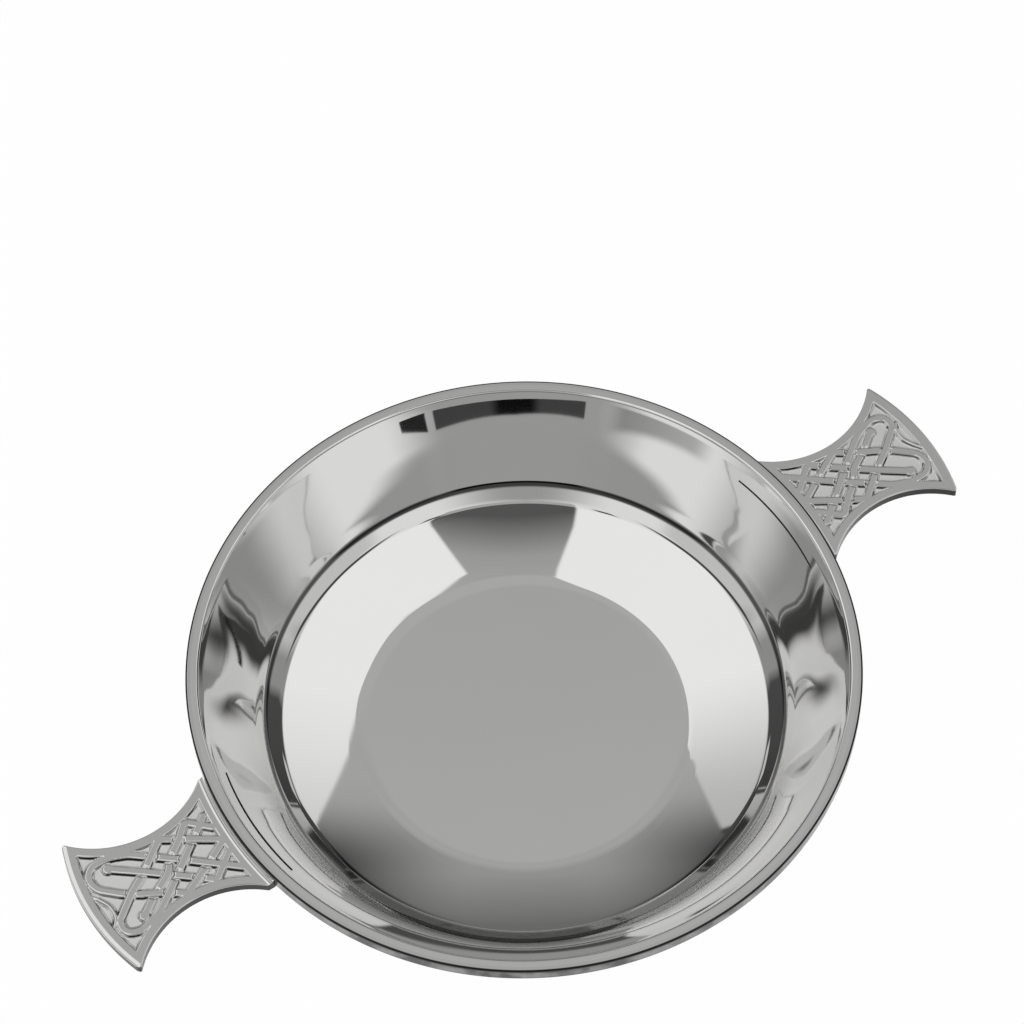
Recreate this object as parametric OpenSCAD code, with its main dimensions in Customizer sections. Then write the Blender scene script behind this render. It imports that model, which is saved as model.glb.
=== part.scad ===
// Quaich: a shallow spun bowl with an applied rim wire, a collet foot and two cast knotwork lugs.
// Millimetres, +Z up, origin on the table under the bowl's axis, +X along the lugs.

/* [Bowl] */
// Outside diameter over the rim wire
rim_d = 114; // [106:1:124]
// Height of the rim above the table
rim_z = 28; // [27.5:0.5:34]
// Width of the flat rim, over the sheet's edge and the wire
band_w = 2.0; // [1.7:0.1:2.6]
// Depth inside, from the rim to the foot of the wall
wall_depth = 14.9; // [13:0.1:15.5]
// How far the wall bulges outwards from a straight line
wall_belly = 0.35; // [0:0.05:0.6]
// Diameter inside at the foot of the wall, where the ledge begins
ledge_d = 89.6; // [88:0.2:93]
// How far the ledge falls between the wall and the dished floor
ledge_drop = 1.8; // [1.2:0.1:2.5]
// Diameter at the ledge's inner edge, where the dished floor begins
dish_d = 84.6; // [80:0.2:86]
// How far the dished floor falls to its flat middle
dish_drop = 4.7; // [3.4:0.1:5.2]
// How far the dished floor sags below a straight line
dish_sag = 0.2; // [0:0.05:0.4]
// Diameter of the flat middle
flat_d = 56.8; // [50:0.2:62]
// Radius of the bends along both edges of the ledge
ledge_bend_r = 5; // [2:0.25:6]
// Radius of the bend round the flat middle
flat_bend_r = 16; // [4:1:20]
// Rounding of the lip's inner edge
lip_r = 0.7; // [0.3:0.05:1]
// Thickness of the spun sheet
sheet = 1.0; // [0.7:0.1:1.2]

/* [Rim wire] */
// Height of the wire's outer face
wire_h = 2.7; // [2:0.1:3.1]
// Bevel along the wire's top and bottom outer edges
wire_bevel = 0.25; // [0.1:0.05:0.4]

/* [Foot] */
// Diameter of the foot's neck, at the middle of its wall
foot_neck_d = 56; // [46:1:60]
// How far the base spreads beyond the neck
foot_spread = 5; // [4.5:0.25:7]
// Thickness of the foot's band
foot_wall = 1.5; // [1:0.1:2.2]
// Radius of the sweep from neck to base
foot_sweep_r = 2.5; // [1.5:0.25:3]

/* [Lugs] */
// Reach of a lug beyond the rim, along its middle
lug_reach = 27; // [24:0.5:32]
// Width of a lug at its waist
lug_waist_w = 14.3; // [12:0.1:18]
// Distance from the rim to the waist
lug_waist_at = 11.4; // [10:0.1:13]
// Radius of the hollow sides
lug_side_r = 17.3; // [16:0.1:22]
// Radius of the curved outer end
lug_end_r = 38.5; // [30:0.5:60]
// Width across the blunted outer corners
lug_tip_w = 26.6; // [24:0.2:30]
// Width across the blunted corners at the rim
lug_root_w = 23; // [20:0.2:25]
// Thickness of the casting
lug_t = 1.8; // [1.5:0.1:2.4]
// Drop from the rim's top to the lug's top face at its root
lug_drop = 1.8; // [1.2:0.1:2.2]
// Upward tilt of the lug, in degrees
lug_tilt = 2; // [0:0.25:4]
// Width of the shallow bevel along the outer end
lug_bevel_w = 0.7; // [0.3:0.1:0.9]
// Fall of that bevel
lug_bevel_drop = 0.3; // [0.1:0.05:0.6]
// Radius of the hollow where a lug turns up against the rim wire
root_fillet = 1.0; // [0.5:0.1:1.3]

/* [Knotwork] */
// Width of the raised border along the sides
side_border = 1.15; // [0.8:0.05:1.6]
// Width of the raised border along the outer end
end_border = 1.5; // [1:0.1:2.2]
// Width of the raised border along the rim
root_border = 1.9; // [1.5:0.1:2.6]
// Depth of the recessed ground below the strands
relief = 0.5; // [0.3:0.05:0.8]
// Width of a strand
strand_w = 1.15; // [0.8:0.05:1.4]
// Width of the thin ridge that closes the outer end
ridge_w = 0.5; // [0.3:0.05:0.8]
// Radius of the bud that ends each middle strand
bud_r = 0.85; // [0.7:0.05:1.1]
// Width of the nick on each side of a crossing
nick_w = 0.2; // [0.1:0.05:0.3]
// Depth of that nick
nick_depth = 0.25; // [0.1:0.05:0.3]

/* [Solder] */
// Gap between soldered pieces
seam = 0.05; // [0.03:0.01:0.1]
// Leg of the solder fillets
fillet = 1.1; // [0.6:0.1:1.4]

/* [Hidden] */
$fn = 128;
metal = "silver";
solder_tint = "gainsboro";

rim_r = rim_d / 2;
lip_in_r = rim_r - band_w;
ledge_r = ledge_d / 2;
dish_r = dish_d / 2;
flat_r = flat_d / 2;
ledge_z = rim_z - wall_depth;
dish_z = ledge_z - ledge_drop;
floor_z = dish_z - dish_drop;
overshoot = 2;
arc_step = 10;
// Largest share of a run that a rounded corner may take
run_share = 0.49;
nick_len = strand_w * 1.5;
// Solder under a lug runs out along the plate and, further, down the wall
solder_out = fillet * 1.5;
solder_down = fillet * 3;
// Shares of the wall and of the dished floor where their curves are sampled, clear of the bends
wall_shares = [0, 0.15, 0.3, 0.45, 0.6, 0.75];
dish_shares = [0.15, 0.3, 0.45, 0.6];

// Knotwork routes: a point is [share of the reach in %, share of the half waist in %, corner radius]
upper_loop = [[9, -74, 0], [21, -38, 0], [52, 54, 6], [64, 86, 6], [78, 103, 3], [87, 90, 1.8],
    [86.5, 56, 1.8], [71.7, 10.5, 0], [57, -25, 0]];
upper_return = [[59, -20, 0], [40, -77, 1], [22, -35, 0], [9, -3, 0]];
lower_loop = [[6, 87, 0], [33.5, 0, 0], [60.5, -81, 5], [72, -99, 5], [83, -99, 2], [89, -78, 2.2],
    [88, -42, 3], [76, 0, 5], [71.7, 10.5, 0], [66, 25, 0]];
lower_return = [[68, 20, 0], [52, 53, 0], [43, 79, 1], [26, 45, 0], [9, 9, 0]];
middle_fall = [[75.5, -73, 0], [58.5, -24, 0], [46.5, 12.5, 0], [32, 57, 0], [23.5, 84, 0.8], [8, 36, 0]];
middle_rise = [[72, 74, 0], [59, 38, 2], [46.5, 12, 4], [40.5, -21, 4], [30, -50, 0], [21, -84, 0.8],
    [8, -38, 0]];
strands = [upper_loop, upper_return, lower_loop, lower_return, middle_fall, middle_rise];
end_ridge = [[90, 60, 0], [86.5, 42, 3], [86, 12, 6], [90, -17, 3], [93, -34, 0]];
buds = [middle_fall[0], middle_rise[0]];
// Crossings: [share of the reach, share of the half waist, direction of the strand on top in degrees]
crossings = [[33.4, 0, 38], [42.2, 25.5, -39], [52, 54, 37], [71.7, 10.5, 35], [58.6, -24, -38],
    [49, -47, 37], [60, 38, -30], [46.5, 12.3, 37], [41.3, -22, -38], [30.5, -49, 37], [32.2, 57, 32],
    [22.3, -35, -33], [22.8, 36, -38]];

function unit(v) = v / norm(v);
function turned(v, a) = [v[0] * cos(a) - v[1] * sin(a), v[0] * sin(a) + v[1] * cos(a)];
function flat_point(p) = [p[0], p[1]];
function left_of(v) = [-v[1], v[0]];

// Points of the arc that rounds corner b between a and c; the radius shrinks where a run is short
function rounded(a, b, c, r) =
    let (back = unit(a - b), on = unit(c - b))
    let (half = acos(max(-1, min(1, back * on))) / 2)
    let (run = min(r / tan(half), run_share * min(norm(a - b), norm(c - b))))
    let (radius = run * tan(half), centre = b + unit(back + on) * radius / sin(half))
    let (side = cross(b - a, c - b) > 0 ? 1 : -1, sweep = 180 - 2 * half)
    let (steps = max(1, ceil(sweep / arc_step)), start = b + back * run - centre)
    [for (i = [0:steps]) centre + turned(start, side * sweep * i / steps)];

// A line through points [x, y, radius], with every corner that has a radius rounded
function rounded_line(pts) =
    let (last = len(pts) - 1)
    [for (i = [0:last])
        let (b = flat_point(pts[i]))
        let (corner = i > 0 && i < last && pts[i][2] > 0)
        each corner ? rounded(flat_point(pts[i - 1]), b, flat_point(pts[i + 1]), pts[i][2]) : [b]];

// One side of a band of half width h along a line; each point moves along its mitre
function band_side(line, h) =
    let (last = len(line) - 1)
    [for (i = [0:last])
        let (before = unit(line[max(i, 1)] - line[max(i, 1) - 1]))
        let (after = unit(line[min(i, last - 1) + 1] - line[min(i, last - 1)]))
        let (mitre = unit(left_of(before) + left_of(after)))
        line[i] + mitre * h / (mitre * left_of(before))];

function reversed(list) = [for (i = [len(list) - 1:-1:0]) list[i]];

// A band of width w along a line, as one outline
module band(line, w) {
    polygon(concat(band_side(line, w / 2), reversed(band_side(line, -w / 2))));
}

// Inside face of the bowl: down the wall, over the ledge and across the dished floor to the flat middle
function bow(t) = 4 * t * (1 - t);
function wall_point(t) =
    [lip_in_r - (lip_in_r - ledge_r) * t + wall_belly * bow(t), rim_z - wall_depth * t, 0];
function dish_point(t) =
    [dish_r - (dish_r - flat_r) * t, dish_z - dish_drop * t - dish_sag * bow(t), 0];
wall_points = [for (t = wall_shares) wall_point(t)];
dish_points = [for (t = dish_shares) dish_point(t)];
ledge_points = [[ledge_r, ledge_z, ledge_bend_r], [dish_r, dish_z, ledge_bend_r]];
flat_points = [[flat_r, floor_z, flat_bend_r], [flat_r / 2, floor_z, 0], [0, floor_z, 0]];
inner_line = rounded_line(concat(wall_points, ledge_points, dish_points, flat_points));
outer_line = band_side(inner_line, sheet);

// Where the sheet's outer face, carried up along the wall, meets the plane of the rim
lip_fall = wall_point(0) - wall_point(wall_shares[1]);
lip_out_r = lip_in_r + sheet * norm(lip_fall) / lip_fall[1];
lip_top = [lip_out_r, rim_z, 0];
lip_line = rounded_line([lip_top, [lip_in_r, rim_z, lip_r], wall_point(wall_shares[1])]);

// Height of the bowl's underside at a radius, and radius of its outer face at a height
function under_z(r) = lookup(r, [for (p = outer_line) p]);
function outer_r(z) = lookup(z, [for (p = outer_line) [p[1], p[0]]]);

// Everything on the bowl's side of its outer face, grown by a gap
module bowl_envelope(gap) {
    above = flat_point(lip_top + lip_fall / lip_fall[1] * overshoot);
    rotate_extrude()
        polygon(concat([[0, above[1]], above + [gap, 0]],
            [for (p = outer_line) [p[0] > 0 ? p[0] + gap : 0, p[1] - gap]]));
}

module bowl() {
    inner_rest = [for (i = [2:len(inner_line) - 1]) inner_line[i]];
    color(metal)
        rotate_extrude()
            polygon(concat(lip_line, inner_rest, reversed(outer_line)));
}

module rim_wire() {
    color(metal)
        difference() {
            rotate_extrude()
                polygon([[ledge_r, rim_z], [rim_r - wire_bevel, rim_z], [rim_r, rim_z - wire_bevel],
                    [rim_r, rim_z - wire_h + wire_bevel], [rim_r - wire_bevel, rim_z - wire_h],
                    [ledge_r, rim_z - wire_h]]);
            bowl_envelope(seam);
        }
}

foot_neck_r = foot_neck_d / 2;
foot_line = rounded_line([[foot_neck_r, rim_z, 0], [foot_neck_r, foot_wall / 2, foot_sweep_r],
    [foot_neck_r + foot_spread, foot_wall / 2, 0]]);

module foot_ring() {
    color(metal)
        difference() {
            rotate_extrude()
                band(foot_line, foot_wall);
            bowl_envelope(seam);
        }
}

// A ring of solder in the corner between the foot's neck and the bowl's underside
module foot_solder() {
    inside = foot_neck_r + foot_wall / 2 + seam;
    outside = inside + fillet;
    color(solder_tint)
        difference() {
            rotate_extrude()
                polygon([[inside, under_z(inside) - fillet - seam], [outside, under_z(outside) - 2 * seam],
                    [outside, ledge_z], [inside, ledge_z]]);
            bowl_envelope(seam);
        }
}

function lug_point(p) = [rim_r + lug_reach * p[0] / 100, lug_waist_w / 2 * p[1] / 100];
function lug_route(pts) = rounded_line([for (p = pts) concat(lug_point(p), [p[2]])]);
lug_end_x = rim_r + lug_reach - lug_end_r;
lug_root_x = rim_r - band_w - wire_h;

// The hollow sides, grown by a border
module lug_sides(border) {
    for (side = [-1, 1])
        translate([rim_r + lug_waist_at, side * (lug_waist_w / 2 + lug_side_r)])
            circle(lug_side_r + border);
}

module lug_outline() {
    tip_x = rim_r + lug_reach;
    difference() {
        polygon([[lug_root_x, -lug_root_w / 2], [rim_r, -lug_root_w / 2], [tip_x, -lug_tip_w / 2],
            [tip_x, lug_tip_w / 2], [rim_r, lug_root_w / 2], [lug_root_x, lug_root_w / 2]]);
        lug_sides(0);
    }
}

// Blank of the casting: flat top at z = 0, round outer end with its bevel
module lug_blank() {
    intersection() {
        translate([0, 0, -lug_t])
            linear_extrude(lug_t)
                lug_outline();
        translate([lug_end_x, 0, -lug_t])
            rotate_extrude()
                polygon([[0, 0], [lug_end_r, 0], [lug_end_r, lug_t - lug_bevel_drop],
                    [lug_end_r - lug_bevel_w, lug_t], [0, lug_t]]);
    }
}

// The hollow along the root, where the plate turns up against the rim wire
module lug_turn_up() {
    end_r = rim_r + seam + root_fillet;
    hollow = [for (a = [270:-arc_step:180]) [end_r, root_fillet] + root_fillet * [cos(a), sin(a)]];
    intersection() {
        rotate_extrude()
            polygon(concat([[rim_r - band_w, -lug_t / 2], [end_r, -lug_t / 2]], hollow,
                [[rim_r - band_w, root_fillet]]));
        translate([0, 0, -lug_t])
            linear_extrude(lug_t + overshoot)
                lug_outline();
    }
}

// Ground of the panel, inside the border
module panel() {
    difference() {
        intersection() {
            translate([rim_r, -lug_tip_w / 2])
                square([lug_reach, lug_tip_w]);
            translate([lug_end_x, 0])
                circle(lug_end_r - end_border);
        }
        lug_sides(side_border);
        circle(rim_r + root_border);
    }
}

module strand(pts, w) {
    translate([0, 0, -relief - overshoot])
        linear_extrude(relief + 2 * overshoot)
            band(lug_route(pts), w);
}

// What the knotwork takes out of the blank: the ground between the strands
module ground() {
    difference() {
        translate([0, 0, -relief])
            linear_extrude(relief + overshoot / 2)
                panel();
        for (pts = strands)
            strand(pts, strand_w);
        strand(end_ridge, ridge_w);
        for (p = buds)
            translate(concat(lug_point(p), [-relief - overshoot]))
                cylinder(h = relief + 2 * overshoot, r = bud_r);
    }
}

// The nicks that part the strand underneath from the one on top
module crossing_nicks() {
    for (c = crossings)
        translate(concat(lug_point(c), [-nick_depth]))
            rotate([0, 0, c[2]])
                for (side = [-1, 1])
                    translate([-nick_len / 2, side * (strand_w + nick_w) / 2 - nick_w / 2, 0])
                        cube([nick_len, nick_w, nick_depth + overshoot / 4]);
}

// One lug, carved, tilted and let in under the rim wire
module right_lug() {
    color(metal)
        difference() {
            translate([rim_r, 0, rim_z - lug_drop])
                rotate([0, -lug_tilt, 0])
                    translate([-rim_r, 0, 0])
                        union() {
                            difference() {
                                lug_blank();
                                ground();
                                crossing_nicks();
                            }
                            lug_turn_up();
                        }
            bowl_envelope(seam);
            translate([0, 0, rim_z - wire_h - seam])
                cylinder(h = wire_h + overshoot, r = rim_r + seam);
        }
}

module left_lug() {
    rotate([0, 0, 180])
        right_lug();
}

// Solder under a lug's root, along the bowl's wall
module right_lug_solder() {
    top = rim_z - lug_drop - lug_t / cos(lug_tilt) - (rim_r - lug_root_x) * tan(lug_tilt) - seam;
    low = top - solder_down;
    half_angle = asin(lug_waist_w / 2 / lip_out_r);
    color(solder_tint)
        difference() {
            rotate([0, 0, -half_angle])
                rotate_extrude(angle = 2 * half_angle)
                    polygon([[ledge_r, top], [outer_r(top) + solder_out, top],
                        [outer_r(low) + 2 * seam, low], [ledge_r, low]]);
            bowl_envelope(seam);
        }
}

module left_lug_solder() {
    rotate([0, 0, 180])
        right_lug_solder();
}

bowl();
rim_wire();
foot_ring();
foot_solder();
left_lug();
right_lug();
left_lug_solder();
right_lug_solder();
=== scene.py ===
import math

import bmesh
import bpy
import numpy as np
from mathutils import Matrix, Vector


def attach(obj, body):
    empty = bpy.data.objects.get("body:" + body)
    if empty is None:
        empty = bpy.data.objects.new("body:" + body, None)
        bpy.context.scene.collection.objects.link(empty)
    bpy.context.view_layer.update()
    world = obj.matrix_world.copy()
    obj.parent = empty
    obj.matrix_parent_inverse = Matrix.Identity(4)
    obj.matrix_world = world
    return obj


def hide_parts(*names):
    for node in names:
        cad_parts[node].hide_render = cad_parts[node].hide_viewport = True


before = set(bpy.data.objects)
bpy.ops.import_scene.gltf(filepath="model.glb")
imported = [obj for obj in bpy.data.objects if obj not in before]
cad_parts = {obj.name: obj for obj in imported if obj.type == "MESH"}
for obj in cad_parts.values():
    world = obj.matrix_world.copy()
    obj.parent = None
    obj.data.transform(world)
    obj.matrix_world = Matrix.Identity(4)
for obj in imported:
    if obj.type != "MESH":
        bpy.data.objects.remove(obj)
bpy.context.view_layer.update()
mm = 0.001
weldDistance = 1e-7
cornerShare = 0.49                      # a rounding takes at most this share of the shorter side
sharp = {"spun": 35, "cast": 60}        # edges that turn by more degrees than this stay sharp
print("frame loaded:", ", ".join(sorted(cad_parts)))


# Lengths are in millimetres until a piece is made.
def smoothStep(low, high, value):
    share = np.clip((value - low) / (high - low), 0, 1)
    return share * share * (3 - 2 * share)


def roundCorner(before, corner, after, radius, stepDegrees):
    before, corner, after = (np.array(p, float) for p in (before, corner, after))
    back = (before - corner) / np.linalg.norm(before - corner)
    on = (after - corner) / np.linalg.norm(after - corner)
    half = math.acos(max(-1, min(1, back @ on))) / 2
    reach = min(np.linalg.norm(before - corner), np.linalg.norm(after - corner)) * cornerShare
    run = min(radius / math.tan(half), reach)
    centre = corner + (back + on) / np.linalg.norm(back + on) * run / math.cos(half)
    start = corner + back * run - centre
    turn = back[1] * on[0] - back[0] * on[1]
    sweep = math.copysign(math.pi - 2 * half, turn)
    count = max(1, math.ceil(abs(math.degrees(sweep)) / stepDegrees))
    arc = []
    for i in range(count + 1):
        c, s = math.cos(sweep * i / count), math.sin(sweep * i / count)
        arc.append(centre + (start[0] * c - start[1] * s, start[0] * s + start[1] * c))
    return arc


def roundedLine(points, stepDegrees):
    line = []
    for i, (x, y, radius) in enumerate(points):
        if radius > 0 and 0 < i < len(points) - 1:
            line += roundCorner(points[i - 1][:2], (x, y), points[i + 1][:2], radius, stepDegrees)
        else:
            line.append(np.array((x, y), float))
    return line


def offsetLine(line, distance):
    moved = []
    for i, point in enumerate(line):
        before = line[max(i, 1)] - line[max(i, 1) - 1]
        after = line[min(i, len(line) - 2) + 1] - line[min(i, len(line) - 2)]
        sides = [np.array((-d[1], d[0])) / np.linalg.norm(d) for d in (before, after)]
        mitre = (sides[0] + sides[1]) / np.linalg.norm(sides[0] + sides[1])
        moved.append(point + mitre * distance / (mitre @ sides[0]))
    return moved


def finishPiece(name, bm, node, sharpAngle):
    bmesh.ops.recalc_face_normals(bm, faces=bm.faces)
    mesh = bpy.data.meshes.new(name)
    bm.to_mesh(mesh)
    bm.free()
    mesh.shade_smooth()
    mesh.set_sharp_from_angle(angle=math.radians(sharpAngle))
    piece = bpy.data.objects.new(name, mesh)
    bpy.context.scene.collection.objects.link(piece)
    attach(piece, "root")
    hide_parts(node)
    print(name, "made:", len(mesh.vertices), "vertices")
    return piece


def spinPiece(name, profile, steps, node):
    bm = bmesh.new()
    verts = [bm.verts.new((r * mm, 0, z * mm)) for r, z in profile]
    edges = [bm.edges.new(pair) for pair in zip(verts, verts[1:] + verts[:1])]
    bmesh.ops.spin(bm, geom=verts + edges, cent=(0, 0, 0), axis=(0, 0, 1), angle=math.tau,
                   steps=steps, use_merge=True, use_duplicate=False)
    bmesh.ops.remove_doubles(bm, verts=bm.verts, dist=weldDistance)
    bmesh.ops.dissolve_degenerate(bm, edges=bm.edges, dist=weldDistance)
    return finishPiece(name, bm, node, sharp["spun"])


# A shader value that can be added, scaled and shaped like a number.
class Wire:
    def __init__(self, tree, socket=None):
        self.tree, self.socket = tree, socket

    def node(self, kind, settings=None, inputs=None, out=0):
        made = self.tree.nodes.new("ShaderNode" + kind)
        for key, value in (settings or {}).items():
            if key == "stops":
                ramp = made.color_ramp.elements
                while len(ramp) < len(value):
                    ramp.new(1)
                for stop, (place, tone) in zip(ramp, value):
                    stop.position = place
                    stop.color = (tone, tone, tone, 1)
            else:
                setattr(made, key, value)
        for key, value in (inputs or {}).items():
            if isinstance(value, Wire):
                self.tree.links.new(value.socket, made.inputs[key])
            else:
                made.inputs[key].default_value = value
        return Wire(self.tree, made.outputs[out] if made.outputs else None)

    def math(self, operation, *others):
        return self.node("Math", {"operation": operation}, dict(enumerate((self, *others))))

    def __add__(self, other):
        return self.math("ADD", other)

    def __mul__(self, other):
        return self.math("MULTIPLY", other)

    def __sub__(self, other):
        return self.math("SUBTRACT", other)

    def __rsub__(self, other):
        return self.node("Math", {"operation": "SUBTRACT"}, {0: other, 1: self})

    def __truediv__(self, other):
        return self.math("DIVIDE", other)

    def ease(self, low, high):          # 0 at low, 1 at high, smooth between; low may be the larger
        return self.node("MapRange", {"interpolation_type": "SMOOTHSTEP"},
                         {"Value": self, "From Min": low, "From Max": high})

    def span(self, start, full, fade, end):     # 0 outside start and end, 1 from full to fade
        return self.ease(start, full) * self.ease(end, fade)

    def blend(self, other, share):      # this value where share is 0, the other where it is 1
        return self.node("Mix", {"data_type": "FLOAT"}, {0: share, 2: self, 3: other})

    def along(self, points):            # straight lines between (where, value) points
        low, high = points[0][0], points[-1][0]
        return self.node("ValToRGB", {"stops": [((x - low) / (high - low), y) for x, y in points]},
                         {"Fac": (self - low) / (high - low)})

    def dot(self, vector):
        return self.node("VectorMath", {"operation": "DOT_PRODUCT"}, {0: self, 1: vector}, "Value")

    def noise(self, scale, detail):
        return self.node("TexNoise", None, {"Vector": self, "Scale": scale, "Detail": detail})


def newFinish(name):
    finish = bpy.data.materials.new(name)
    finish.use_nodes = True
    finish.node_tree.nodes.clear()
    return finish, Wire(finish.node_tree)


rimZ = 28.0
view = {"azimuth": -31.44, "elevation": 60.353, "distance": 528.83, "focal": 3136.5, "roll": -1.92,
        "rimCentre": (518.49, 659.69), "frame": 1024, "sensor": 36, "nearest": 10}


def makeCamera():
    azimuth, elevation, roll = (math.radians(view[k]) for k in ("azimuth", "elevation", "roll"))
    back = Vector((math.sin(azimuth) * math.cos(elevation), -math.cos(azimuth) * math.cos(elevation),
                   math.sin(elevation)))
    right = Vector((math.cos(azimuth), math.sin(azimuth), 0))
    up = back.cross(right)
    middle = view["frame"] / 2
    pan = math.atan((view["rimCentre"][0] - middle) / view["focal"])
    tip = math.atan((view["rimCentre"][1] - middle) / view["focal"] * math.cos(pan))
    turn = Matrix.Rotation(pan, 3, up)
    ahead, right = turn @ -back, turn @ right
    turn = Matrix.Rotation(tip, 3, right)
    ahead, up = turn @ ahead, turn @ up
    c, s = math.cos(roll), math.sin(roll)
    right, up = right * c + up * s, up * c - right * s
    lens = bpy.data.cameras.new("camera")
    lens.sensor_fit = "HORIZONTAL"
    lens.sensor_width = view["sensor"]
    lens.lens = view["focal"] / view["frame"] * view["sensor"]
    lens.clip_start = view["nearest"] * mm
    camera = bpy.data.objects.new("camera", lens)
    bpy.context.scene.collection.objects.link(camera)
    place = Matrix((right, up, -ahead)).transposed().to_4x4()
    place.translation = (back * view["distance"] + Vector((0, 0, rimZ))) * mm
    camera.matrix_world = place
    bpy.context.scene.camera = camera


makeCamera()
print("camera set")

# Bowl: lip, wall, ledge, dished floor and its flat middle, in one spun sheet.
bowl = {"rimR": 57.0, "bandW": 2.0, "lipR": 0.7, "wallDepth": 14.9, "belly": 0.35, "ledgeR": 44.8,
        "ledgeDrop": 1.8, "dishR": 42.3, "dishDrop": 4.7, "sag": 0.2, "flatR": 28.4, "ledgeBendR": 5.0,
        "flatBendR": 16.0, "sheet": 1.0, "joinLand": 0.2, "lipLand": 0.8, "lipShare": 0.1,
        # shares of the wall and the dish where their even cuts start and end, and how many cuts
        "wallCuts": (0.08, 0.86, 24), "dishCuts": (0.1, 0.82, 26), "flatRings": (24, 20, 15, 10, 5, 0),
        "bendStep": 1.2, "lipStep": 8, "steps": 288}
lipInR = bowl["rimR"] - bowl["bandW"]
ledgeZ = rimZ - bowl["wallDepth"]
dishZ = ledgeZ - bowl["ledgeDrop"]
floorZ = dishZ - bowl["dishDrop"]


def wallPoint(t):
    bow = 4 * t * (1 - t)
    return lipInR - (lipInR - bowl["ledgeR"]) * t + bowl["belly"] * bow, rimZ - bowl["wallDepth"] * t


def dishPoint(t):
    bow = 4 * t * (1 - t)
    depth = bowl["dishDrop"] * t
    return bowl["dishR"] - (bowl["dishR"] - bowl["flatR"]) * t, dishZ - depth - bowl["sag"] * bow


def plain(points):
    return [(x, y, 0) for x, y in points]


wallTop = wallPoint(bowl["wallCuts"][0])
lipSlope = np.array(wallPoint(0)) - wallTop
lipOutR = lipInR + bowl["sheet"] * np.linalg.norm(lipSlope) / lipSlope[1]


def makeBowl():
    wall = [wallPoint(t) for t in np.linspace(*bowl["wallCuts"])]
    dish = [dishPoint(t) for t in np.linspace(*bowl["dishCuts"])]
    ledge = [(bowl["ledgeR"], ledgeZ, bowl["ledgeBendR"]), (bowl["dishR"], dishZ, bowl["ledgeBendR"])]
    flat = [(bowl["flatR"], floorZ, bowl["flatBendR"])] + [(r, floorZ, 0) for r in bowl["flatRings"]]
    inner = roundedLine(plain(wall) + ledge + plain(dish) + flat, bowl["bendStep"])
    lip = roundedLine([(lipOutR, rimZ, 0), (lipOutR - bowl["joinLand"], rimZ, 0),
                       (lipInR + bowl["lipLand"], rimZ, 0), (lipInR, rimZ, bowl["lipR"]),
                       (*wallPoint(bowl["lipShare"]), 0)], bowl["lipStep"])[:-1]
    outer = offsetLine([np.array(wallPoint(0))] + inner, bowl["sheet"])
    outer[-1][0] = 0
    outer[0] = np.array((lipOutR, rimZ))
    profile = lip + inner + outer[::-1][:-1]
    return spinPiece("spunBowl", profile, bowl["steps"], "bowl")


bowlPiece = makeBowl()

# Rim wire: a flat band soldered round the lip and filed flush with it.
wire = {"height": 2.7, "edgeR": 0.3, "topLand": 0.1, "sideLand": 0.15, "seat": 0.05, "edgeStep": 15,
        "steps": 288}


def makeRimWire():
    low = rimZ - wire["height"]
    r, e = bowl["rimR"], wire["edgeR"]
    topR = r - e - wire["topLand"]
    side = e + wire["sideLand"]
    innerLow = lipOutR - (lipSlope[0] / lipSlope[1]) * wire["height"] - wire["seat"]
    top = [(lipOutR, rimZ, 0), (lipOutR + wire["topLand"], rimZ, 0), (topR, rimZ, 0), (r, rimZ, e)]
    outside = [(r, rimZ - side, 0), (r, low + side, 0), (r, low, e)]
    under = [(topR, low, 0), (innerLow, low, 0)]
    profile = roundedLine(top + outside + under, wire["edgeStep"])
    return spinPiece("rimBand", profile, wire["steps"], "rim_wire")


wirePiece = makeRimWire()

# Foot ring: a spreading collet under the flat of the floor.
foot = {"neckR": 28.0, "spread": 5.0, "wall": 1.5, "sweepR": 2.5, "edgeR": 0.35, "sink": 0.3, "sweepStep": 6,
        "edgeStep": 15, "steps": 192}


def makeFoot():
    top = floorZ - bowl["sheet"] + foot["sink"]
    w, neck, base = foot["wall"], foot["neckR"], foot["neckR"] + foot["spread"]
    line = roundedLine([(neck, top, 0), (neck, w / 2, foot["sweepR"]), (base, w / 2, 0)], foot["sweepStep"])
    outside, inside = offsetLine(line, w / 2), offsetLine(line, -w / 2)
    profile = plain(outside[:-1]) + [(*outside[-1], foot["edgeR"]), (*inside[-1], foot["edgeR"])]
    profile = roundedLine(profile + plain(inside[-2::-1]), foot["edgeStep"])
    return spinPiece("footRing", profile, foot["steps"], "foot_ring")


footPiece = makeFoot()

# Lugs: cast plates with a raised border and a recessed knotwork panel.
lug = {"reach": 27.0, "waistW": 14.3, "waistAt": 11.4, "sideR": 17.3, "endR": 38.5, "tipW": 26.6,
       "rootW": 23.0, "thick": 1.8, "drop": 1.8, "tilt": 2.0, "bevelW": 0.7, "bevelDrop": 0.1,
       "rootFillet": 1.0, "gap": 0.05, "edgeR": 0.16, "edgeBand": 0.06, "tipRun": 0.9, "tipPull": 0.5,
       "tipBack": 2.2, "tongueIn": 53.0,
       # the roundings stop just short of upright
       "edgeStop": 0.97, "filletStop": 0.98,
       # the grid, the first guess at its half width and how often that is bettered
       "alongCuts": 236, "acrossCuts": 168, "firstHalfW": 9, "fitRounds": 40,
       # how near counts as being on the root, on the underside and on the cut, and how upright a side is
       "rootSlack": 0.02, "lowSlack": 0.01, "cutSlack": 0.001, "upright": 0.5}
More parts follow.
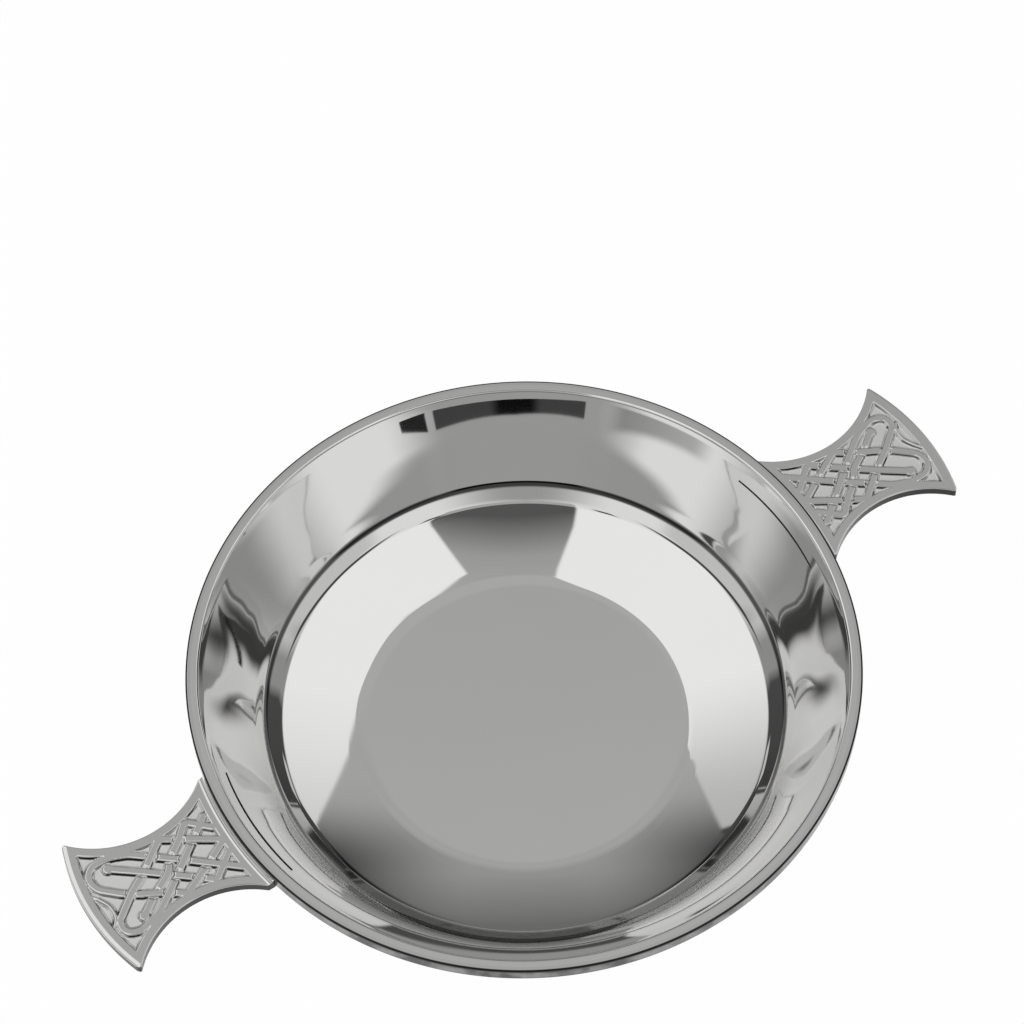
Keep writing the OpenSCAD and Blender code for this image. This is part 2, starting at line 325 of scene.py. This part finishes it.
knot = {"sideBorder": 1.6, "endBorder": 2.0, "rootBorder": 2.1, "relief": 0.5, "strandW": 1.2, "ridgeW": 0.5,
        "budR": 0.85, "wallIn": 0.08, "wallOut": 0.37, "dip": 0.3, "dipNear": 0.6, "dipFar": 1.25,
        "crossMiss": 0.5, "crossAngle": 30, "routeStep": 8}
# routes: share of the reach in %, share of the half waist in %, corner radius in mm
upperLoop = [(9, -74, 0), (21, -38, 0), (52, 54, 6), (64, 86, 6), (78, 103, 3), (87, 90, 1.8),
             (86.5, 56, 1.8), (71.7, 10.5, 0), (57, -25, 0)]
upperReturn = [(59, -20, 0), (40, -77, 1), (22, -35, 0), (9, -3, 0)]
lowerLoop = [(6, 87, 0), (33.5, 0, 0), (60.5, -81, 5), (72, -99, 5), (83, -99, 2), (89, -78, 2.2),
             (88, -42, 3), (76, 0, 5), (71.7, 10.5, 0), (66, 25, 0)]
lowerReturn = [(68, 20, 0), (52, 53, 0), (43, 79, 1), (26, 45, 0), (9, 9, 0)]
middleFall = [(75.5, -73, 0), (58.5, -24, 0), (46.5, 12.5, 0), (32, 57, 0), (23.5, 84, 0.8), (8, 36, 0)]
middleRise = [(72, 74, 0), (59, 38, 2), (46.5, 12, 4), (40.5, -21, 4), (30, -50, 0),
              (21, -84, 0.8), (8, -38, 0)]
endRidge = [(90, 60, 0), (86.5, 42, 3), (86, 12, 6), (90, -17, 3), (93, -34, 0)]
# crossings: the two shares, and the direction of the strand on top in degrees
crossings = [(33.4, 0, 38), (42.2, 25.5, -39), (52, 54, 37), (71.7, 10.5, 35), (58.6, -24, -38),
             (49, -47, 37), (60, 38, -30), (46.5, 12.3, 37), (41.3, -22, -38), (30.5, -49, 37),
             (32.2, 57, 32), (22.3, -35, -33), (22.8, 36, -38)]


def lugPoint(along, across):
    return bowl["rimR"] + lug["reach"] * along / 100, lug["waistW"] / 2 * across / 100


def lugRoute(points):
    return np.array(roundedLine([(*lugPoint(a, b), r) for a, b, r in points], knot["routeStep"]))


def nearestOn(line, x, y):              # distance to a line, and the line's direction there
    best, heading = np.full(x.shape, np.inf), np.zeros(x.shape)
    for (ax, ay), (bx, by) in zip(line, line[1:]):
        dx, dy = bx - ax, by - ay
        share = np.clip(((x - ax) * dx + (y - ay) * dy) / (dx * dx + dy * dy), 0, 1)
        away = np.hypot(x - ax - share * dx, y - ay - share * dy)
        heading = np.where(away < best, math.degrees(math.atan2(dy, dx)), heading)
        best = np.minimum(best, away)
    return best, heading


def raised(away, halfWidth):            # 1 on top, 0 on the ground and a plain slope between
    return np.clip((halfWidth + knot["wallOut"] - away) / (knot["wallOut"] + knot["wallIn"]), 0, 1)


def halfWidth(x):
    inside = np.clip(lug["sideR"] ** 2 - (x - bowl["rimR"] - lug["waistAt"]) ** 2, 0, None)
    hollow = lug["waistW"] / 2 + lug["sideR"] - np.sqrt(inside)
    share = np.clip((x - bowl["rimR"]) / lug["reach"], 0, 1)
    blunt = lug["rootW"] / 2 + share * (lug["tipW"] - lug["rootW"]) / 2
    return np.minimum(hollow, blunt)


def carve(x, y):                        # height of the lug's top over its plane, and how much of it is ground
    endX = bowl["rimR"] + lug["reach"] - lug["endR"]
    sideY = lug["waistW"] / 2 + lug["sideR"]
    fromEnd = lug["endR"] - np.hypot(x - endX, y)
    fromSide = np.hypot(x - bowl["rimR"] - lug["waistAt"], np.abs(y) - sideY) - lug["sideR"]
    fromRoot = np.hypot(x, y) - bowl["rimR"] - lug["gap"]
    inPanel = np.minimum(np.minimum(fromEnd - knot["endBorder"], fromSide - knot["sideBorder"]),
                         fromRoot - knot["rootBorder"])
    height = -knot["relief"] * (1 - raised(inPanel, 0))
    lifts = []
    for route in (upperLoop, upperReturn, lowerLoop, lowerReturn, middleFall, middleRise):
        line = lugRoute(route)
        away, _ = nearestOn(line, x, y)
        dip = np.zeros(x.shape)
        for along, across, topAngle in crossings:
            cx, cy = lugPoint(along, across)
            miss, heading = nearestOn(line, np.array([cx]), np.array([cy]))
            aside = abs((heading[0] - topAngle + 90) % 180 - 90)
            if miss[0] < knot["crossMiss"] and aside > knot["crossAngle"]:
                near = smoothStep(knot["dipFar"], knot["dipNear"], np.hypot(x - cx, y - cy))
                dip = np.maximum(dip, knot["dip"] * near)
        lifts.append((raised(away, knot["strandW"] / 2), dip))
    for bud in (middleFall[0], middleRise[0]):
        bx, by = lugPoint(bud[0], bud[1])
        lifts.append((raised(np.hypot(x - bx, y - by), knot["budR"]), 0))
    lifts.append((raised(nearestOn(lugRoute(endRidge), x, y)[0], knot["ridgeW"] / 2), 0))
    for lift, dip in lifts:
        height = np.maximum(height, -knot["relief"] + (knot["relief"] - dip) * lift)
    ground = np.clip(-height / knot["relief"], 0, 1)
    slope = lug["bevelDrop"] / lug["bevelW"]
    height = height - slope * np.clip(lug["bevelW"] - fromEnd, 0, None)
    for away in (fromSide, fromEnd):
        near = np.clip(1 - np.clip(away, 0, None) / lug["edgeR"], 0, lug["edgeStop"])
        height = height - lug["edgeR"] * (1 - np.sqrt(1 - near ** 2))
    fillet = lug["rootFillet"]
    nearRoot = np.clip(fillet - np.clip(fromRoot, 0, None), 0, fillet)
    return height + fillet - np.sqrt(fillet ** 2 - nearRoot ** 2 * lug["filletStop"]), ground


def makeTongue(bm):                     # the plate's lower half runs on under the wire to the bowl's wall
    under = -(wire["height"] + lug["gap"] - lug["drop"])
    rootR = bowl["rimR"] + lug["gap"]

    def atRoot(v):
        return abs(math.hypot(v.co.x, v.co.y) - rootR) < lug["rootSlack"]

    skirt = [f for f in bm.faces if all(atRoot(v) for v in f.verts)
             and min(v.co.z for v in f.verts) < -lug["thick"] + lug["lowSlack"]]
    parts = skirt + list({e for f in skirt for e in f.edges}) + list({v for f in skirt for v in f.verts})
    bmesh.ops.bisect_plane(bm, geom=parts, plane_co=(0, 0, under), plane_no=(0, 0, 1))
    low = [f for f in bm.faces if all(atRoot(v) and v.co.z < under + lug["cutSlack"] for v in f.verts)
           and abs(f.normal.z) < lug["upright"]]
    grown = bmesh.ops.extrude_face_region(bm, geom=low)["geom"]
    for v in (g for g in grown if isinstance(g, bmesh.types.BMVert)):
        v.co.xy *= lug["tongueIn"] / rootR
    bmesh.ops.delete(bm, geom=[f for f in low if f.is_valid], context="FACES")


def makeLug(name, node, turned):
    bm = bmesh.new()
    bmesh.ops.create_grid(bm, x_segments=lug["alongCuts"], y_segments=lug["acrossCuts"], size=1)
    bm.verts.ensure_lookup_table()
    flat = np.array([v.co for v in bm.verts])
    along, across = (flat[:, 0] + 1) / 2, flat[:, 1]
    rootR, endX = bowl["rimR"] + lug["gap"], bowl["rimR"] + lug["reach"] - lug["endR"]
    tipY = halfWidth(np.array([endX + lug["endR"] - lug["tipBack"]]))[0]
    y = across * lug["firstHalfW"]
    for _ in range(lug["fitRounds"]):
        pull = lug["tipPull"] * np.clip((np.abs(y) - tipY) / lug["tipRun"] + 1, 0, None) ** 2
        end = endX + np.sqrt(lug["endR"] ** 2 - y ** 2) - pull
        x = (1 - along) * np.sqrt(rootR ** 2 - y ** 2) + along * end
        y = across * halfWidth(x)
    height, ground = carve(x, y)
    for v, px, py, pz in zip(bm.verts, x, y, height):
        v.co = (px, py, pz)
    layer = bm.verts.layers.float.new("ground")
    for v, share in zip(bm.verts, ground):
        v[layer] = share
    # the "side" mask marks the plate's sides for a dark painted reflection
    dark = bm.verts.layers.float.new("side")
    for depth in (lug["edgeBand"], lug["thick"]):
        rim = [e for e in bm.edges if e.is_boundary]
        grown = bmesh.ops.extrude_edge_only(bm, edges=rim)["geom"]
        for v in (g for g in grown if isinstance(g, bmesh.types.BMVert)):
            v.co.z = -depth if depth == lug["thick"] else v.co.z - depth
            v[dark] = 1
    bmesh.ops.edgeloop_fill(bm, edges=[e for e in bm.edges if e.is_boundary])
    makeTongue(bm)
    tilt = Matrix.Translation((bowl["rimR"], 0, rimZ - lug["drop"])) @ Matrix.Rotation(
        math.radians(-lug["tilt"]), 4, "Y") @ Matrix.Translation((-bowl["rimR"], 0, 0))
    spot = Matrix.Scale(mm, 4) @ Matrix.Rotation(math.pi if turned else 0, 4, "Z") @ tilt
    bmesh.ops.transform(bm, matrix=spot, verts=bm.verts)
    return finishPiece(name, bm, node, sharp["cast"])


rightLug = makeLug("knotLugRight", "right_lug", False)
leftLug = makeLug("knotLugLeft", "left_lug", True)


# Finishes: noise scales are per metre, and reaches are in millimetres.
warmth = {"pewter": (0.998, 0.988), "solder": (1, 0.99)}        # green and blue as shares of red


def ringPlace(base):                    # the place itself, its distance from the bowl's axis and its height
    place = base.node("TexCoord", out="Object")
    x, y, z = (place.dot(axis) for axis in ((1, 0, 0), (0, 1, 0), (0, 0, 1)))
    return place, (x * x + y * y).math("SQRT") / mm, z / mm


def closeFinish(base, tone, metal, inputs):
    green, blue = warmth[metal]
    tint = base.node("CombineColor", None, {"Red": tone, "Green": tone * green, "Blue": tone * blue})
    shader = base.node("BsdfPrincipled", None, {"Base Color": tint, "Metallic": 1.0, **inputs}, "BSDF")
    base.node("OutputMaterial", None, {"Surface": shader})


# spinning leaves long ring-wise ripples on the wall, and painted shade darkens its foot at the ledge: a wide
# band on one side, and a narrow line on the other
bright = {"tone": 0.81, "cloudScale": 55.0, "cloudTone": 0.02, "wispScale": 900.0, "rough": 0.018,
          "roughRange": 0.012, "ripple": 0.05, "marksAround": 1.6, "marksOut": 0.26, "wallFoot": (0.2, 2),
          "wallTop": (0.1, 1), "innerFace": (-0.7, -0.3), "wideFootShade": 0.72, "wideFootShadeReach": (-2.7, -1.8, 1, 4.5),
          "seam": 0.85, "seamReach": (-0.55, -0.2, 0.1, 0.45), "narrowShadeAngle": 58.6, "narrowShadeSide": (-36, -6)}


def brightMetal():
    finish, base = newFinish("brightMetal")
    place, radius, height = ringPlace(base)
    turn = math.radians(bright["narrowShadeAngle"])
    around = bright["marksAround"] / mm
    marks = base.node("CombineXYZ", None, {
        0: place.dot((1, 0, 0)) / radius * around, 1: place.dot((0, 1, 0)) / radius * around,
        2: radius * bright["marksOut"]})
    cloud = place.noise(bright["cloudScale"], 3.0)
    wisps = place.noise(bright["wispScale"], 2.0)
    spun = marks.noise(1.0, 0.0)
    onWall = (height - ledgeZ).ease(*bright["wallFoot"]) * (lipInR - radius).ease(*bright["wallTop"])
    ripple = base.node("Bump", None, {
        "Strength": 1.0, "Distance": bright["ripple"] * mm, "Height": spun * onWall}, "Normal")
    fromLedge = radius - bowl["ledgeR"]
    inside = (height - ledgeZ - fromLedge).ease(*bright["innerFace"])
    narrowShadeSide = (place.dot((math.cos(turn), math.sin(turn), 0)) / mm).ease(*bright["narrowShadeSide"])
    # painted shade: the crease at the wall's foot is darkened, widely on one side and narrowly on the other
    wideFootShade = fromLedge.span(*bright["wideFootShadeReach"]) * bright["wideFootShade"]
    seam = fromLedge.span(*bright["seamReach"]) * bright["seam"]
    tone = (cloud * bright["cloudTone"] + bright["tone"]) * (1 - wideFootShade.blend(seam, narrowShadeSide) * inside)
    rough = cloud * bright["roughRange"] + wisps * bright["roughRange"] + bright["rough"]
    closeFinish(base, tone, "pewter", {"Roughness": rough, "Normal": ripple})
    return finish


# the rim is bright on top; the outside is rougher, a mottled painted reflection with painted shade at both
# edges
band = {"tone": 0.75, "cloudScale": 55.0, "cloudTone": 0.02, "mottleScale": 260.0, "mottle": (0.35, 0.7),
        "mottleTone": 0.2, "outsideReflectionTone": 0.06, "edgeTone": 0.03, "outside": (0.38, 0.24), "topEdge": (0.35, 0.6),
        "lowEdge": (0.2, 0.5), "rough": 0.02, "cloudRough": 0.02, "dullRough": 0.2}


def bandMetal():
    finish, base = newFinish("bandMetal")
    place, radius, height = ringPlace(base)
    cloud = place.noise(band["cloudScale"], 3.0)
    mottle = place.noise(band["mottleScale"], 3.0)
    outside = (bowl["rimR"] - radius).ease(*band["outside"])
    low = rimZ - wire["height"]
    # painted shade darkens the outside's two edges; the outside's dark mottled tone is a painted reflection
    edge = 1 - (rimZ - height).ease(*band["topEdge"]) * (height - low).ease(*band["lowEdge"])
    outsideReflection = (mottle.ease(*band["mottle"]) * band["mottleTone"] + band["outsideReflectionTone"]).blend(band["edgeTone"], edge)
    tone = (cloud * band["cloudTone"] + band["tone"]).blend(outsideReflection, outside)
    rough = outside * band["dullRough"] + cloud * band["cloudRough"] + band["rough"]
    closeFinish(base, tone, "pewter", {"Roughness": rough})
    return finish


# the panel's ground is pale and matt, and the sides are darkened as a painted reflection
cast = {"tone": 0.75, "groundTone": 0.2, "groundPale": (0.8, 1), "grainScale": 2600.0, "grainTone": 0.03,
        "sideDark": 0.96, "rough": 0.05, "groundRough": 0.42, "groundMatt": (0.85, 1), "sideRough": 0.2,
        "grainRough": 0.04, "bump": 0.15, "bumpDepth": 0.04}


def castMetal():
    finish, base = newFinish("castMetal")
    place = base.node("TexCoord", out="Object")
    ground = base.node("Attribute", {"attribute_name": "ground"}, None, "Fac")
    side = base.node("Attribute", {"attribute_name": "side"}, None, "Fac")
    grain = place.noise(cast["grainScale"], 4.0)
    pale = ground.ease(*cast["groundPale"]) * cast["groundTone"]
    # painted reflection: the sides are made almost black
    tone = (pale + grain * cast["grainTone"] + cast["tone"]) * (1 - side * cast["sideDark"])
    bump = base.node("Bump", None, {
        "Strength": cast["bump"], "Distance": cast["bumpDepth"] * mm, "Height": grain * ground}, "Normal")
    matt = ground.ease(*cast["groundMatt"]) * cast["groundRough"]
    rough = matt + side * cast["sideRough"] + grain * cast["grainRough"] + cast["rough"]
    closeFinish(base, tone, "pewter", {"Roughness": rough, "Normal": bump})
    return finish


solder = {"tone": 0.62, "flowScale": 420.0, "flowTone": 0.12, "rough": 0.22, "flowRough": 0.2, "bump": 0.3,
          "bumpDepth": 0.1}


def solderMetal():
    finish, base = newFinish("solderMetal")
    flow = base.node("TexCoord", out="Object").noise(solder["flowScale"], 3.0)
    bump = base.node("Bump", None, {
        "Strength": solder["bump"], "Distance": solder["bumpDepth"] * mm, "Height": flow}, "Normal")
    rough = flow * solder["flowRough"] + solder["rough"]
    tone = flow * solder["flowTone"] + solder["tone"]
    closeFinish(base, tone, "solder", {"Roughness": rough, "Normal": bump})
    return finish


def setFinish(finish, pieces):
    for piece in pieces:
        piece.data.materials.append(finish)


setFinish(brightMetal(), (bowlPiece, footPiece))
setFinish(bandMetal(), (wirePiece,))
setFinish(castMetal(), (rightLug, leftLug))
solderFinish = solderMetal()
for node in ("foot_solder", "left_lug_solder", "right_lug_solder"):
    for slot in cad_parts[node].material_slots:
        slot.material = solderFinish
print("finishes set")

# Stage: a white floor under a light tent. Two white panels hang overhead with a grey strip between them, and
# the sides are dark low down. Behind the camera the tent is grey in the middle and white to its sides, with
# a grey band halfway up the sides, a dark slot in the middle, and a dark card, a small flag and a grey cloth
# down by the floor. Places in it are in degrees: past overhead, away from the camera; east, to the left;
# lift, up from the floor; and swing, round from the camera's side, left positive. Across and wide are east
# and swing to either side. Four numbers are start, full, fade and end.
tent = {"radius": 1.2, "cuts": 4, "farAngle": 58.56, "floorShare": 0.98, "floorGlow": 0.985,
        "floorTone": 0.85,
        # reach of the grey strip to the left and to the right by degrees past overhead
        "left": [(-20, 12), (-5, 8.5), (0, 6), (4, 5), (15, 5), (22, 10.5), (30, 11), (32.5, 12),
                 (35.5, 18.5), (39, 23.5), (54, 24.5), (60, 28), (90, 36)],
        "right": [(-20, 16), (-9, 15), (-5, 13.5), (0.7, 8.5), (9, 18), (13, 20.5), (20, 21), (25, 24.5),
                  (49, 27), (60, 30), (90, 36)],
        "stripEdge": (-0.4, 0.4), "panelSide": (42.5, 35.5), "panelEnd": (53.5, 52.5),
        # tones of the strip, the panels and the sides by degrees past overhead
        "stripTone": [(-30, 0.42), (-12.5, 0.42), (-11.5, 0.1), (-7, 0.1), (-2, 0.38), (6, 0.46), (26, 0.46),
                      (33, 0.42), (40, 0.43), (58, 0.34), (67, 0.17), (90, 0.15)],
        "panelTone": [(-20, 0.8), (-12, 0.85), (-8, 0.95), (25, 0.95), (36, 0.88), (52, 0.7)],
        "sideTone": [(-20, 0.6), (13, 0.6), (19, 0.3), (28, 0.3), (32, 0.07), (90, 0.05)],
        "stripFade": {"across": (7, 29), "past": (44, 58), "share": 0.95},
        "panelFade": {"east": (0, 25), "past": (24, 48), "share": 0.25},
        "sideLow": {"lift": (9.5, 8.5), "tone": 0.02},
        "sideFoot": {"lift": (4, 3), "tone": 0.75},
        # a dark gap slants down each side towards the camera
        "gap": {"across": 42.5, "past": -3.5, "lean": (0.73, 0.68), "width": (-8, -4.5, 1, 4),
                "length": (27, 32.5, 54, 59), "tone": 0.06},
        # a light and a dark patch on each side
        "patches": [{"across": (42, 44, 49.5, 51), "past": (44, 47, 57, 58.5), "tone": 0.6},
                    {"across": (14, 15.5, 18.5, 20), "past": (-18, -17, -13, -12), "tone": 0.07}],
        # half width of the grey behind the camera by degrees past overhead
        "front": [(-90, 44), (-66, 40), (-25, 4), (-17, 4)],
        "frontMiddle": 2, "frontEdge": (-12, 16), "frontTone": 0.36, "frontWhite": 0.82,
        "frontStart": (-20, -25), "frontFade": {"wide": (57, 80), "share": 0.5},
        "shade": {"lift": (10, 12.5, 40, 46), "wide": (12, 32), "tone": 0.34, "darkLift": (19, 23, 28, 36),
                  "darker": 0.2},
        "slot": {"lift": (19, 20, 28.5, 30), "wide": (28, 20), "tone": 0.012},
        "cloth": {"top": (15, 13.4), "slope": 0.18, "swing": (25, 32, 52, 60), "tone": 0.03,
                  "tonePerDegree": 0.008},
        "card": {"top": (9.35, 9.05), "slope": 0.02, "swing": (-23.6, -23.2, 19.8, 20.2), "tone": 0.005,
                 "sides": (4, 8), "sideTone": 0.05},
        "flag": {"top": (14.85, 14.55), "slope": 0.24, "swing": (-33.5, -33, -26, -25.5), "tone": 0.02},
        "floorLine": (0, 0.5), "leastLevel": 1e-5}


def makeTent():
    bm = bmesh.new()
    bmesh.ops.create_icosphere(bm, subdivisions=tent["cuts"], radius=tent["radius"])
    bmesh.ops.translate(bm, vec=(0, 0, rimZ * mm), verts=bm.verts)
    mesh = bpy.data.meshes.new("lightTent")
    bm.to_mesh(mesh)
    bm.free()
    dome = bpy.data.objects.new("lightTent", mesh)
    bpy.context.scene.collection.objects.link(dome)
    dome.visible_camera = False
    finish, base = newFinish("tentCloth")
    place = base.node("TexCoord", out="Object")
    place = base.node("VectorMath", {"operation": "SUBTRACT"}, {0: place, 1: (0, 0, rimZ * mm)})
    way = base.node("VectorMath", {"operation": "NORMALIZE"}, {0: place})
    turn = math.radians(tent["farAngle"])
    ahead = way.dot((math.cos(turn), math.sin(turn), 0))
    aside = way.dot((-math.sin(turn), math.cos(turn), 0))
    level = (ahead * ahead + aside * aside).math("SQRT").math("MAXIMUM", tent["leastLevel"])
    steep = way.dot((0, 0, 1)).math("ARCCOSINE") * (180 / math.pi)
    lift = 90 - steep
    east, past = steep * aside / level, steep * ahead / level
    across = east.math("ABSOLUTE")
    swing = aside.math("ARCTAN2", ahead * -1) * (180 / math.pi)
    wide = swing.math("ABSOLUTE")

    def reach(name):
        return (past / 90).along([(x / 90, y / 90) for x, y in tent[name]]) * 90

    leftOf, rightOf = reach("left") - east, reach("right") + east
    between = leftOf.ease(*tent["stripEdge"]) * rightOf.ease(*tent["stripEdge"])
    panel = (1 - between) * across.ease(*tent["panelSide"]) * past.ease(*tent["panelEnd"])
    fade = tent["stripFade"]
    strip = across.ease(*fade["across"]) * past.ease(*fade["past"]) * fade["share"]
    strip = past.along(tent["stripTone"]) * (1 - strip)
    fade = tent["panelFade"]
    white = east.ease(*fade["east"]) * past.ease(*fade["past"]) * fade["share"]
    white = past.along(tent["panelTone"]) * (1 - white)
    side = past.along(tent["sideTone"])
    for low in (tent["sideLow"], tent["sideFoot"]):
        side = side.blend(low["tone"], lift.ease(*low["lift"]))
    far = side.blend(strip, between).blend(white, panel)
    gap = tent["gap"]
    slant = (across - gap["across"]) * gap["lean"][0] - (past - gap["past"]) * gap["lean"][1]
    far = far.blend(gap["tone"], slant.span(*gap["width"]) * across.span(*gap["length"]))
    for patch in tent["patches"]:
        far = far.blend(patch["tone"], across.span(*patch["across"]) * past.span(*patch["past"]))

    def hung(form):                     # from the floor up to a sloping top
        top = (lift + wide * form["slope"]).ease(*form["top"])
        return top * swing.span(*form["swing"]) * lift.ease(*tent["floorLine"])

    front = ((east - tent["frontMiddle"]).math("ABSOLUTE") - reach("front")).ease(*tent["frontEdge"])
    front = front * (tent["frontWhite"] - tent["frontTone"]) + tent["frontTone"]
    front = front * (1 - wide.ease(*tent["frontFade"]["wide"]) * tent["frontFade"]["share"])
    shade, slot, cloth, card, flag = (tent[name] for name in ("shade", "slot", "cloth", "card", "flag"))
    grey = shade["tone"] - lift.span(*shade["darkLift"]) * shade["darker"]
    front = front.blend(grey, lift.span(*shade["lift"]) * wide.ease(*shade["wide"]))
    front = front.blend(wide * cloth["tonePerDegree"] + cloth["tone"], hung(cloth))
    front = front.blend(slot["tone"], lift.span(*slot["lift"]) * wide.ease(*slot["wide"]))
    front = front.blend(wide.ease(*card["sides"]) * card["sideTone"] + card["tone"], hung(card))
    front = front.blend(flag["tone"], hung(flag))
    glow = far.blend(front, past.ease(*tent["frontStart"]))
    shader = base.node("Emission", None, {"Color": glow, "Strength": 1.0})
    base.node("OutputMaterial", None, {"Surface": shader})
    mesh.materials.append(finish)


def makeFloor():
    bm = bmesh.new()
    bmesh.ops.create_grid(bm, x_segments=1, y_segments=1, size=tent["radius"] * tent["floorShare"])
    mesh = bpy.data.meshes.new("floor")
    bm.to_mesh(mesh)
    bm.free()
    floor = bpy.data.objects.new("floor", mesh)
    bpy.context.scene.collection.objects.link(floor)
    finish, base = newFinish("whiteFloor")
    sight = base.node("LightPath", None, None, "Is Camera Ray")
    glossy = Wire(base.tree, sight.socket.node.outputs["Is Glossy Ray"])
    through = Wire(base.tree, sight.socket.node.outputs["Is Transmission Ray"])
    matt = base.node("BsdfDiffuse", None, {"Color": (tent["floorTone"],) * 3 + (1,)})
    glow = base.node("Emission", None, {"Color": (1, 1, 1, 1), "Strength": 1.0})
    seen = (sight + glossy + through).math("MINIMUM", 1.0) * tent["floorGlow"]
    shader = base.node("MixShader", None, {0: seen, 1: matt, 2: glow})
    base.node("OutputMaterial", None, {"Surface": shader})
    mesh.materials.append(finish)


def makeWorld():
    world = bpy.data.worlds.new("studio")
    world.use_nodes = True
    world.node_tree.nodes.clear()
    base = Wire(world.node_tree)
    shader = base.node("Background", None, {"Color": (1, 1, 1, 1), "Strength": 1.0})
    base.node("OutputWorld", None, {"Surface": shader})
    bpy.context.scene.world = world


makeTent()
makeFloor()
makeWorld()
bpy.context.scene.view_settings.view_transform = "Standard"
print("stage set")
